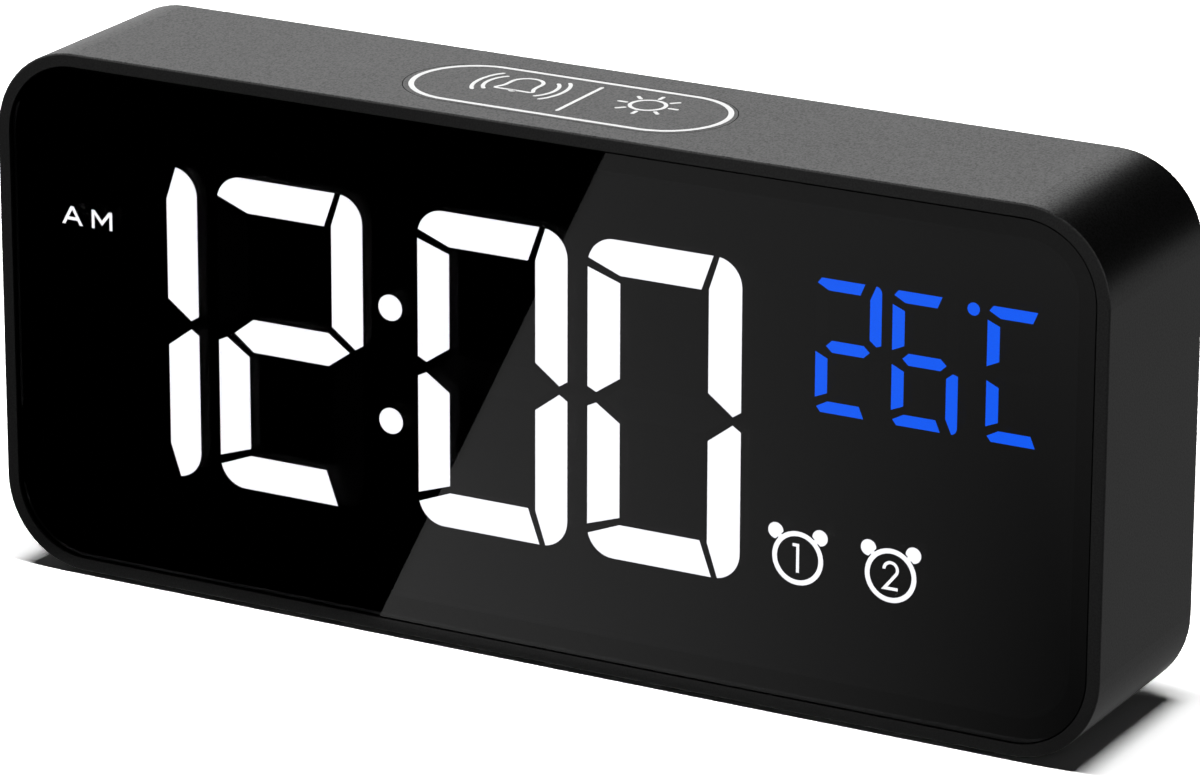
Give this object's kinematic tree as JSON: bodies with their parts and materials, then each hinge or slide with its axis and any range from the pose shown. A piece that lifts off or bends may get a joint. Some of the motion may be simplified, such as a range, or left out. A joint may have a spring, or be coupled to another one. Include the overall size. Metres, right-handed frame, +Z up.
{
  "type": "digital alarm clock",
  "caption": "Free-standing LED alarm clock with a smoked full-width lens, a rocking stadium key in its top, setting keys, charging outlets and a turned coin-cell door behind.",
  "frame": {"origin": "on the surface that the clock stands on, below the middle of its case", "axes": "+Z up, -Y the way the display faces, +X along the clock to the right as seen from the front"},
  "size_m": [0.163, 0.0286, 0.0734],
  "materials": {
    "case_plastic": "moulded black with a fine satin grain",
    "key_plastic": "moulded black with a fine satin grain",
    "smoked_acrylic": "polished smoked sheet",
    "white_light": "milky light bar, lit white",
    "blue_light": "milky light bar, lit blue",
    "unlit_diffuser": "smoked diffuser, not lit",
    "mask_film": "black film",
    "housing_plastic": "opaque moulding",
    "adhesive_foam": "thin black foam",
    "board_laminate": "glass laminate under green lacquer",
    "chip_resin": "moulded resin",
    "lamp_resin": "phosphor under clear resin",
    "plated_can": "nickel-plated can",
    "plated_shell": "nickel-plated sheet",
    "plated_strip": "nickel-plated spring strip",
    "plated_brass": "nickel-plated turned pin",
    "screw_steel": "zinc plated",
    "black_screw_steel": "black oxide",
    "capacitor_can": "drawn can",
    "inner_plastic": "plain moulding",
    "switch_plastic": "plain moulding",
    "socket_plastic": "plain pale moulding",
    "foot_rubber": "matte pad",
    "print_ink": "white pad-printed ink"
  },
  "bodies": {
    "case": {"case_shell": "case_plastic", "rubber_feet": "foot_rubber", "front_lens": "smoked_acrylic", "lens_tape": "adhesive_foam", "display_mask": "mask_film", "display_housing": "housing_plastic", "time_segments": "white_light", "unlit_segments": "unlit_diffuser", "colon_dots": "white_light", "temperature_segments": "blue_light", "am_indicator": "white_light", "alarm_one_icon": "white_light", "alarm_two_icon": "white_light", "display_board": "board_laminate", "led_chips": "lamp_resin", "driver_chip": "chip_resin", "display_screws": "screw_steel", "board_connector": "socket_plastic", "main_board": "board_laminate", "controller_chip": "chip_resin", "clock_crystal": "plated_can", "supply_capacitor": "capacitor_can", "buzzer": "inner_plastic", "thermistor": "chip_resin", "board_screws": "screw_steel", "key_board": "board_laminate", "key_board_screws": "screw_steel", "top_switches": "inner_plastic", "rear_switches": "inner_plastic", "rear_cover": "case_plastic", "cover_screws": "black_screw_steel", "battery_cup": "inner_plastic", "battery_contact_minus": "plated_strip", "battery_contact_plus": "plated_strip", "dc_inlet": "inner_plastic", "dc_inlet_pin": "plated_brass", "usb_outlets": "plated_shell", "usb_tongues": "socket_plastic"},
    "top_key": {"top_key": "key_plastic"},
    "snooze_plunger": {"snooze_plunger": "switch_plastic"},
    "light_plunger": {"light_plunger": "switch_plastic"},
    "time_key": {"time_key": "key_plastic", "time_plunger": "switch_plastic"},
    "alarm_one_key": {"alarm_one_key": "key_plastic", "alarm_one_plunger": "switch_plastic"},
    "alarm_two_key": {"alarm_two_key": "key_plastic", "alarm_two_plunger": "switch_plastic"},
    "up_key": {"up_key": "key_plastic", "up_plunger": "switch_plastic"},
    "down_key": {"down_key": "key_plastic", "down_plunger": "switch_plastic"},
    "battery_door": {"battery_door": "case_plastic"}
  },
  "joints": [
    {"name": "top_rocker", "type": "hinge", "parent": "case", "child": "top_key", "pos_m": [-0.0018, -0.0005, 0.0694], "axis": [0, 1, 0], "range_deg": [-1.2, 1.2], "stiffness_Nm_per_rad": 0.12},
    {"name": "snooze_press", "type": "slide", "parent": "case", "child": "snooze_plunger", "axis": [0, 0, -1], "range_m": [-0.00024, 0.00024]},
    {"name": "light_press", "type": "slide", "parent": "case", "child": "light_plunger", "axis": [0, 0, -1], "range_m": [-0.00024, 0.00024]},
    {"name": "time_press", "type": "slide", "parent": "case", "child": "time_key", "axis": [0, -1, 0], "range_m": [0, 0.0003], "stiffness_N_per_m": 500},
    {"name": "alarm_one_press", "type": "slide", "parent": "case", "child": "alarm_one_key", "axis": [0, -1, 0], "range_m": [0, 0.0003], "stiffness_N_per_m": 500},
    {"name": "alarm_two_press", "type": "slide", "parent": "case", "child": "alarm_two_key", "axis": [0, -1, 0], "range_m": [0, 0.0003], "stiffness_N_per_m": 500},
    {"name": "up_press", "type": "slide", "parent": "case", "child": "up_key", "axis": [0, -1, 0], "range_m": [0, 0.0003], "stiffness_N_per_m": 500},
    {"name": "down_press", "type": "slide", "parent": "case", "child": "down_key", "axis": [0, -1, 0], "range_m": [0, 0.0003], "stiffness_N_per_m": 500},
    {"name": "battery_door_turn", "type": "hinge", "parent": "case", "child": "battery_door", "pos_m": [0.05, 0.012, 0.029], "axis": [0, 1, 0], "range_deg": [0, 40]}
  ],
  "couplings": [
    {"joint": "snooze_press", "follows": "top_rocker", "m_per_rad": -0.011},
    {"joint": "light_press", "follows": "top_rocker", "m_per_rad": 0.011}
  ]
}
